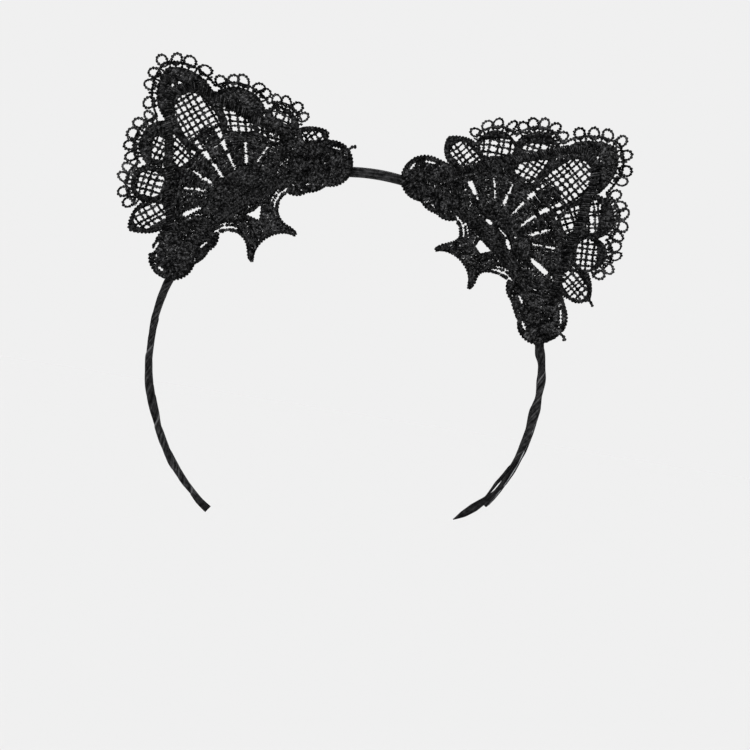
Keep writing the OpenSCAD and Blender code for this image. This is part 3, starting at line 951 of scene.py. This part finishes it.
class Look:
    """A principled material and short ways to feed it."""

    def __init__(self, name, **constants):
        self.material = bpy.data.materials.new(name)
        self.material.use_nodes = True
        self.tree = self.material.node_tree
        self.shader = self.tree.nodes["Principled BSDF"]
        for socket, value in constants.items():
            self.shader.inputs[socket.replace("_", " ")].default_value = value

    def node(self, kind, inputs=(), **settings):
        made = self.tree.nodes.new(kind)
        for name, value in settings.items():
            setattr(made, name, value)
        for name, value in dict(inputs).items():
            if isinstance(value, bpy.types.NodeSocket):
                self.tree.links.new(value, made.inputs[name])
            else:
                made.inputs[name].default_value = value
        return made

    def math(self, operation, a, b=0.0):
        return self.node("ShaderNodeMath", {0: a, 1: b}, operation=operation).outputs[0]

    def total(self, *terms):
        """The sum of values, each times its weight."""
        whole, *rest = (self.math("MULTIPLY", value, weight) for value, weight in terms)
        for part in rest:
            whole = self.math("ADD", whole, part)
        return whole

    def power(self, value, exponent):
        return self.math("POWER", self.math("MAXIMUM", value, 0.0), exponent)

    def wave(self, value, per_unit=1.0):
        return self.math("SINE", self.math("MULTIPLY", value, 2 * math.pi * per_unit))

    def spread(self, value, low, high, from_low=0.0, from_high=1.0):
        return self.node("ShaderNodeMapRange", {
            "Value": value, "From Min": from_low, "From Max": from_high,
            "To Min": low, "To Max": high,
        }).outputs["Result"]

    def where(self):
        return self.node("ShaderNodeTexCoord").outputs["Object"]

    def thread_uv(self):
        """Millimetres along a thread and the share of a turn round it, or across a ribbon."""
        uv = self.node("ShaderNodeUVMap", uv_map="thread").outputs["UV"]
        parts = self.node("ShaderNodeSeparateXYZ", {"Vector": uv}).outputs
        return uv, parts["X"], parts["Y"]

    def drawn_out(self, vector, scale):
        return self.node("ShaderNodeMapping", {"Vector": vector, "Scale": scale}).outputs["Vector"]

    def noise(self, scale, detail, vector=None):
        return self.node("ShaderNodeTexNoise", {
            "Scale": scale, "Detail": detail, "Vector": self.where() if vector is None else vector,
        }).outputs["Fac"]

    def cloud(self, scale, detail):
        """Soft noise, stretched to the whole range from 0 to 1."""
        return self.spread(self.noise(scale, detail), 0, 1, 0.3, 0.7)

    def done(self, blend, dark, light, roughness, height, distance, strength=0.9):
        """Feeds the colour, the roughness and the relief to the shader."""
        colour = self.node("ShaderNodeMix", {0: blend, 6: (*dark, 1), 7: (*light, 1)},
                           data_type="RGBA").outputs[2]
        relief = self.node("ShaderNodeBump", {"Height": height, "Distance": distance,
                                              "Strength": strength}).outputs["Normal"]
        for socket, source in (("Base Color", colour), ("Roughness", roughness),
                               ("Normal", relief)):
            self.tree.links.new(source, self.shader.inputs[socket])
        return self.material


def thread_look(name, light, twist=1.6, rough=0.5):
    """Twisted thread: its strands slant round it, and it differs from stitch to stitch, in random
    tone and in painted highlights that stand for the threads' glints.
    """
    look = Look(name, Specular_IOR_Level=0.015)
    _, along, round_it = look.thread_uv()
    strand = look.wave(look.total((along, twist), (round_it, 2.0)))
    tone_and_highlight = look.node("ShaderNodeAttribute", attribute_name="tone_and_highlight").outputs["Fac"]
    # Random tone, raised to a high power below, so that its top end is painted highlight: the
    # speckle of glints on the threads.
    blend = look.total((tone_and_highlight, 0.42), (look.cloud(1100.0, 1.0), 0.42),
                       (look.cloud(260.0, 2.0), 0.2), (strand, 0.1))
    height = look.total((strand, 1.0), (look.noise(3500.0, 2.0), 0.6))
    return look.done(look.power(blend, 3.7), DARK_THREAD, light,
                     look.spread(look.noise(1100.0, 1.0), rough - 0.12, rough + 0.12), height,
                     0.00003)


def satin_look(name, light):
    """Satin ribbon: fine warp along it, finer weft across it, long drawn streaks of painted sheen,
    and a painted highlight along each edge.
    """
    look = Look(name, Specular_IOR_Level=0.025, Anisotropic=0.3)
    uv, along, across = look.thread_uv()
    weave = look.math("MULTIPLY", look.wave(across, 3.0),
                      look.math("ADD", look.wave(along, 3.6), 1.5))
    # The long streaks are painted sheen in the colour. They also shape the relief and the
    # roughness.
    streak = look.noise(1.0, 5.0, look.drawn_out(uv, (0.12, 1.7, 1.0)))
    streak = look.spread(streak, 0, 1, 0.32, 0.68)
    # A painted highlight: a lighter line along both edges of the ribbon.
    middle = look.math("ABSOLUTE", look.math("SUBTRACT", across, RIBBON_W / 2))
    painted_edge_highlight = look.spread(middle, 0, 1, RIBBON_W / 2 - 0.6, RIBBON_W / 2 - 0.3)
    blend = look.total((streak, 0.6), (look.cloud(700.0, 2.0), 0.3), (weave, 0.05),
                       (painted_edge_highlight, 0.4))
    height = look.total((weave, 0.3), (streak, 1.6))
    return look.done(look.power(blend, 2.6), DARK_SATIN, light, look.spread(streak, 0.34, 0.58),
                     height, 0.00012)


def steel_look(name, colour):
    look = Look(name, Metallic=1.0, Roughness=0.35)
    grain = look.noise(1.0, 3.0, look.drawn_out(look.where(), (400.0, 4000.0, 400.0)))
    return look.done(grain, tuple(0.7 * c for c in colour), colour,
                     look.spread(grain, 0.28, 0.5), grain, 0.00002, 0.5)


# Each thread look's second colour is the light end of its painted highlights.
black_satin_stitch = thread_look("black_satin_stitch", (0.122, 0.122, 0.125))
black_net_thread = thread_look("black_net_thread", (0.095, 0.095, 0.097), rough=0.6)
black_cord = thread_look("black_cord", (0.102, 0.102, 0.104), twist=2.2, rough=0.55)
black_sewing_thread = thread_look("black_sewing_thread", (0.122, 0.122, 0.125), twist=2.5,
                                  rough=0.45)
# The ribbon's second colour is the light end of its painted sheen and its painted edge highlight.
black_ribbon = satin_look("black_ribbon", (0.115, 0.115, 0.118))
strip_steel = steel_look("strip_steel", (0.58, 0.6, 0.62))
wire_steel = steel_look("wire_steel", (0.5, 0.5, 0.52))

# ---- making an ear -----------------------------------------------------------------------

# Each ear's cut thread ends: one by the wing, and on the right ear one at the leaf's tip too
WING_TAIL = ((38.8, 65.2), (40.5, 65.9), (42.3, 66.1), (43.6, 65.4))
LEAF_TAIL = ((38.4, 81.3), (40.2, 81.4), (41.9, 80.9))
LASH_ANGLES = [FOOT_END - 0.6 - 0.75 * k for k in range(4)]
TACK_ANGLES = range(-24, 25, 6)
# Half the width of the grid of lines that each window's net is cut from
TIP_NET, SIDE_NET = 16, 9


def area_of(shape, low, high):
    """A flat shape's area in square metres, counted on a fine grid."""
    return float((shape(*grid_over(low, high)) < 0).sum()) * (GRID * MM) ** 2


def middle_of(shape):
    """The middle of a small window."""
    u, v = grid_over((-43, 72), (43, 126), 0.5)
    inside = shape(u, v) < 0
    return u[inside].mean(), v[inside].mean()


def finish_piece(piece, place, material, body, slot, *nodes):
    made = piece.make(place, material)
    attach(made, body)
    if nodes:
        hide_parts(*nodes)
    return made


def make_ear(name, seed):
    rng, side = np.random.default_rng(seed), SIDES[name]
    shapes = motif(name)
    border, fan, hub, base = (shapes[part] for part in ("border", "fan", "hub", "base"))
    windows = [(half_only(window, half), half * turn)
               for half in HALVES for window, turn in OPENINGS[name, half]]

    def upper(p):
        return bent(name, p, True)

    def lower(p):
        return bent(name, p, False)

    def start(part, bend=None):
        return Piece(f"{name}_{part}", bend)

    def finish(piece, material, slot, *parts):
        nodes = (f"{name}_{part}" for part in parts)
        return finish_piece(piece, on_ear(name), material, name + "_side", slot, *nodes)

    satin = start("lace_satin", upper)
    needle = Needle(rng, satin, STITCH, SATIN_Z)
    needle.border(border)
    needle.pips(border, (-42, 74), (42, 126))
    satin = finish(satin, black_satin_stitch, "lace_satin", "lace_border")

    petals_piece = start("lace_petals", upper)
    needle = Needle(rng, petals_piece, STITCH, FAN_Z, crown=0.35)
    needle.fan(fan, hub)
    needle.pips(union(fan, hub), (-27, 72), (27, 100))
    petals_piece = finish(petals_piece, black_satin_stitch, "lace_satin", "lace_fan")

    wings_piece = start("lace_wings", lower)
    needle = Needle(rng, wings_piece, STITCH, BASE_Z)
    needle.base(base)
    needle.pips(base, (-42, 47), (42, 77))
    for ring in np.arange(67.2, 75.3, 1.12):
        path = arc((0, 0), ring, -BAR_TURN, BAR_TURN)
        keep = cut(base, wings)(*path.T) < -0.3
        edges = np.flatnonzero(np.diff(np.pad(keep, 1).astype(int)))
        for first, last in edges.reshape(-1, 2):
            if last - first > 8:
                cord(rng, wings_piece, flat(path[first:last], BASE_Z + 0.28), BAR_CORD,
                     tones_and_highlights=(0.35, 0.65))
    wings_piece = finish(wings_piece, black_satin_stitch, "lace_satin", "lace_base")

    ground = start("lace_ground", upper)
    net(rng, ground, shapes["tip_window"], (0, 102), TIP_NET, 0.0)
    for window, turn in windows:
        net(rng, ground, window, middle_of(window), SIDE_NET, turn)
    ground = finish(ground, black_net_thread, "lace_net", "lace_net")

    under = start("lace_bobbin", upper)
    needle = Needle(rng, under, UNDER, BORDER_BACK, drop=0.2)
    needle.border(border)
    needle.fan(fan, hub)
    under.bend = lower
    Needle(rng, under, UNDER, BASE_BACK, drop=0.3).base(base)
    under = finish(under, black_satin_stitch, "lace_satin")

    cords = start("lace_cords", lower)
    edge_cords(rng, cords, grown(base, -0.4), (-43, 47), (43, 78), 4.35, BASE_CORD)
    cords.bend = upper
    edge_cords(rng, cords, grown(satin_outline, -0.3), (-43, 74), (43, 126), 4.45, BORDER_CORD)
    edge_cords(rng, cords, grown(shapes["tip_window"], 0.5), (-12, 88), (12, 115), 4.6,
               WINDOW_CORD)
    for window, _ in windows:
        edge_cords(rng, cords, grown(window, 0.5), (-43, 72), (43, 112), 4.6, WINDOW_CORD)
    cords = finish(cords, black_cord, "lace_cord")

    loops = start("lace_loops", upper)
    picots(rng, loops)
    loops = finish(loops, black_cord, "lace_cord", "lace_picots")

    line = wire_line()
    wrap = start("wire_winding")
    winding(wrap, line)
    finish(wrap, black_sewing_thread, "wire_thread", "wire_wrap")
    whip = start("whipping")
    whip_stitches(rng, whip, line)
    finish(whip, black_sewing_thread, "sewing_thread", "whip_stitches")

    for where, sign in (("inner", -side), ("outer", side)):
        lash = start(where + "_lash")
        band_turns(rng, lash, [sign * a for a in LASH_ANGLES], FOOT_R + WRAP_R + 0.2)
        finish(lash, black_sewing_thread, "sewing_thread", where + "_lashing")
    tacks = start("tacking")
    band_turns(rng, tacks, TACK_ANGLES, ARCH_R + BAND_T2 + 0.2)
    finish(tacks, black_sewing_thread, "sewing_thread", "base_stitches")

    tails, node = start("loose_threads"), "thread_tail"
    ends = [(WING_TAIL, lower)]
    if name == "right":
        node += "s"
        ends.append((LEAF_TAIL, upper))
    for tail, tails.bend in ends:
        cord(rng, tails, flat(resampled(tail, 0.2), 4.4), TAIL_CORD, phase=0.0)
    tails = finish(tails, black_cord, "sewing_thread", node)

    area_of(union(border, fan, hub, base), (-43, 47), (43, 126))


make_ear("left", 11)
make_ear("right", 23)

# ---- the band ----------------------------------------------------------------------------

# Where the wrapping swells and leans: (degrees from the top, extra half thickness, shift
# away from the arch's centre), in mm
SWELLS = {
    "left": ((0, 1.2, 0), (12, 1.1, 0), (24, 0.6, 0), (56, 0.45, 0), (72, 0.3, 0.2),
             (82, 0.1, 0.1), (92, -0.05, 0), (99, 0.05, 0.1), (106, 0.45, 0), (111, 0.35, -0.2),
             (117, -0.02, -0.1), (122, 0.1, 0), (128, 0.35, 0.1), (136, 0.2, 0), (143, 0.0, 0)),
    "right": ((0, 1.2, 0), (12, 1.1, 0), (24, 0.5, 0), (60, 0.3, 0), (72, 0.4, 0),
              (76.6, 0.62, -0.2), (80, 0.0, 0.2), (84.5, 0.5, 0.05), (89, -0.08, -0.1),
              (94, 0.85, -0.5), (99, 0.45, -0.5), (104, 0.35, -0.4), (111, 0.25, -0.3),
              (118, 0.1, -0.15), (125, 0, 0)),
}


def swell(name, along, column=1):
    table = np.array(SWELLS[name])
    at, extra = np.radians(table[:, 0]) * ARCH_R, table[:, column]
    k = np.clip(np.searchsorted(at, along, side="right") - 1, 0, len(at) - 2)
    t = ramp(along, at[k], at[k + 1])
    return extra[k] * (1 - t) + extra[k + 1] * t


STRIP_T2, STRIP_W2 = 0.66, 2.6                  # half the size of the strip's sleeve
RIBBON_TURN, RIBBON_REACH, CLOTH = 27.0, 29.0, 0.12
RIBBON_START, OVERRUN = 13.0, 0.5
UNDER_END = 0.6                                 # how far before the end the sleeve closes in
CLOSING = ((0.3, 1), (0.6, 0.96), (0.9, 0.82), (1.05, 0.6))
END_THICK = 0.14


def cloth(piece, name, along, q, lift, uvs, shrink=1.0, half_w=STRIP_W2):
    """Adds cloth that goes q turns round the band, at a length along it, lifted off it."""
    layers = []
    for grow in (CLOTH, 0.0):
        t = (STRIP_T2 + swell(name, along) * 0.9) * shrink + (lift + grow)
        w = half_w * (0.9 + 0.1 * shrink) + (lift + grow)
        rho, d = oval(2 * np.pi * q * SIDES[name], t, w, 4.4 - 1.15 * np.clip(t, 0.5, 1.8))
        layers.append(np.stack([ARCH_R + swell(name, along, 2) + rho, along, d], axis=-1))
    piece.shell(*layers, np.stack(uvs, axis=-1))


def under_ribbon(name, total):
    """The wrapping's inner layer, a sleeve that closes in at the band's end."""
    piece = Piece(name + "_ribbon_under")
    last = total - UNDER_END
    at = np.linspace(0, last, int(total / 0.8))
    shrink = np.concatenate([np.ones(len(at)), [share for _, share in CLOSING]])[:, None]
    at = np.concatenate([at, last + np.array([past for past, _ in CLOSING])])
    along, q = np.meshgrid(at, np.linspace(0, 1, 41), indexing="ij")
    crease = 0.05 * np.sin(2 * np.pi * (2 * q + along / 23)) ** 3 * ramp(along, 2, 8)
    cloth(piece, name, along, q, crease, (along, q * RIBBON_W), shrink,
          STRIP_W2 + 0.05 * np.sin(along * 0.9))
    return piece


def wound_ribbon(name, total):
    """The ribbon wound over it in long overlapping turns, and the ribbon's length."""
    piece, side = Piece(name + "_ribbon_wound"), SIDES[name]
    last = total + OVERRUN
    turns = (last - RIBBON_START - RIBBON_REACH) / RIBBON_TURN
    a, b = np.meshgrid(np.linspace(-0.4, turns, int(turns * 60)), np.linspace(0, 1, 33),
                       indexing="ij")
    wander = 0.9 * np.sin(a * 2.3 + side) + 0.5 * np.sin(a * 5.1 + 2 * side)
    along = np.clip(RIBBON_START + RIBBON_TURN * a + RIBBON_REACH * b + wander, RIBBON_START,
                    last)
    folds = (0.1 * np.sin(2 * np.pi * (3.1 * b + 0.5 * np.sin(1.3 * a)))
             + 0.05 * np.sin(2 * np.pi * 7.3 * b + 4 * a))
    lift = 0.16 + 0.34 * (1 - b) + folds * np.sin(np.pi * b) ** 0.5
    turn_length = math.hypot(RIBBON_TURN, 13.5)
    cloth(piece, name, along, a, np.maximum(lift, 0.14), (a * turn_length, b * RIBBON_W))
    return piece, turns * turn_length


def ribbon_end(piece, line, widths, ripple, layers):
    """A loose flat end of ribbon along a line of (angle in degrees, rho, d)."""
    line = np.array(line, float)
    steps = np.linspace(0, len(line) - 1, 60)
    angle, mid, depth = (np.interp(steps, np.arange(len(line)), column)[:, None]
                         for column in line.T)
    half = np.interp(steps, np.linspace(0, len(line) - 1, len(widths)), widths)[:, None] / 2
    across = np.linspace(-1, 1, 15)[None, :]
    along = np.radians(angle) * ARCH_R + 0 * across
    uvs = np.stack([along, (across + 1) * RIBBON_W / 2 + 0 * along], axis=-1)
    for layer in range(layers):
        bow = ripple * np.cos(across * 4 + layer) * (half / half.max())
        d = depth + bow + 0.3 * layer + 0.12 * np.sin(steps * 2 + layer)[:, None]
        rho = mid + across * half * (1 - 0.2 * layer) + 0.25 * layer
        piece.shell(np.stack([rho, along, d], -1), np.stack([rho, along, d - END_THICK], -1), uvs)


# The ribbon's loose ends: the node each stands for, how deep it ripples and its layers, and
# each strip's line of (degrees from the top, rho, d) with its widths along it
RIBBON_ENDS = {
    "left": ("left_ribbon_fold", 0.18, 2, (
        (((138.5, 70.1, 2.4), (141.5, 70.1, 3.0), (145.2, 70, 2.7)), (1.6, 2.6, 2.9)),
    )),
    "right": ("right_ribbon_tail", 0.3, 1, (
        (((116, 69.9, 2.4), (121, 69.2, 3.2), (126, 68, 2.8), (131, 67, 2.9),
          (135.2, 66.2, 2.6)), (2.2, 1.5, 2.4, 3.2, 2.4, 0.3)),
        (((107, 69.6, 3.1), (112, 68.5, 3.4), (118, 67.7, 3.2), (123.5, 67.9, 2.9)),
         (0.5, 1.5, 1.3, 0.6)),
    )),
}

for name, side in SIDES.items():
    node, ripple, layers, strips = RIBBON_ENDS[name]
    end = Piece(name + "_ribbon_end")
    for line, widths in strips:
        ribbon_end(end, line, widths, ripple, layers)
    end = finish_piece(end, on_band(side), black_ribbon, name + "_side", "satin_ribbon", node)
    total = math.radians(BAND_END[name]) * ARCH_R
    wound, length = wound_ribbon(name, total)
    under, wound = (piece.make(on_band(side), black_ribbon)
                    for piece in (under_ribbon(name, total), wound))
    for piece in (under, wound):
        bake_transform(piece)
    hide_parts(name + "_ribbon")
    if name == "left":
        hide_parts("crown_ribbon")

for name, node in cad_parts.items():
    for ending, steel in (("_strip", strip_steel), ("_ear_wire", wire_steel)):
        if name.endswith(ending):
            node.data.materials.clear()
            node.data.materials.append(steel)

# ---- light, floor and finish -------------------------------------------------------------

SEEN, AMBIENT = 0.871, 0.35         # the background, as it is seen and as it lights the object
# (direction to the light, strength, angle across in degrees)
SUNS = (
    ((-0.40, -0.72, 0.60), 2.6, 24),
    ((0.55, -0.62, 0.55), 0.9, 40),
    ((0.1, 0.8, 0.6), 1.2, 40),
)
FLOOR_R, FLOOR_Z, FLOOR_SIDES = 30, -0.6, 64

world = bpy.data.worlds.new("studio")
bpy.context.scene.world = world
world.use_nodes = True
tree = world.node_tree
tree.nodes.clear()
pick = tree.nodes.new("ShaderNodeMixShader")
out = tree.nodes.new("ShaderNodeOutputWorld")
path = tree.nodes.new("ShaderNodeLightPath")
tree.links.new(path.outputs["Is Camera Ray"], pick.inputs[0])
for slot, grey in enumerate((AMBIENT, SEEN), 1):
    shade = tree.nodes.new("ShaderNodeBackground")
    shade.inputs["Color"].default_value = (grey, grey, grey, 1)
    tree.links.new(shade.outputs[0], pick.inputs[slot])
tree.links.new(pick.outputs[0], out.inputs["Surface"])

floor_light = AMBIENT
for number, (towards, strength, across) in enumerate(SUNS):
    light = bpy.data.lights.new(f"soft_light_{number}", "SUN")
    light.energy = strength
    light.angle = math.radians(across)
    direction = Vector(towards).normalized()
    lamp = add_object(light.name, light)
    lamp.rotation_euler = direction.to_track_quat("Z", "Y").to_euler()
    floor_light += strength * direction.z / math.pi

floor_mesh = bpy.data.meshes.new("floor")
turns = np.linspace(0, 2 * math.pi, FLOOR_SIDES, endpoint=False)
floor_mesh.from_pydata([(FLOOR_R * math.cos(a), FLOOR_R * math.sin(a), FLOOR_Z) for a in turns],
                       [], [range(FLOOR_SIDES)])
grey = SEEN / floor_light
floor_look = Look("floor", Roughness=1.0, Specular_IOR_Level=0.0, Base_Color=(grey, grey, grey, 1))
floor_mesh.materials.append(floor_look.material)
add_object("floor", floor_mesh)

bpy.context.scene.view_settings.view_transform = "Standard"
bpy.context.scene.view_settings.look = "None"
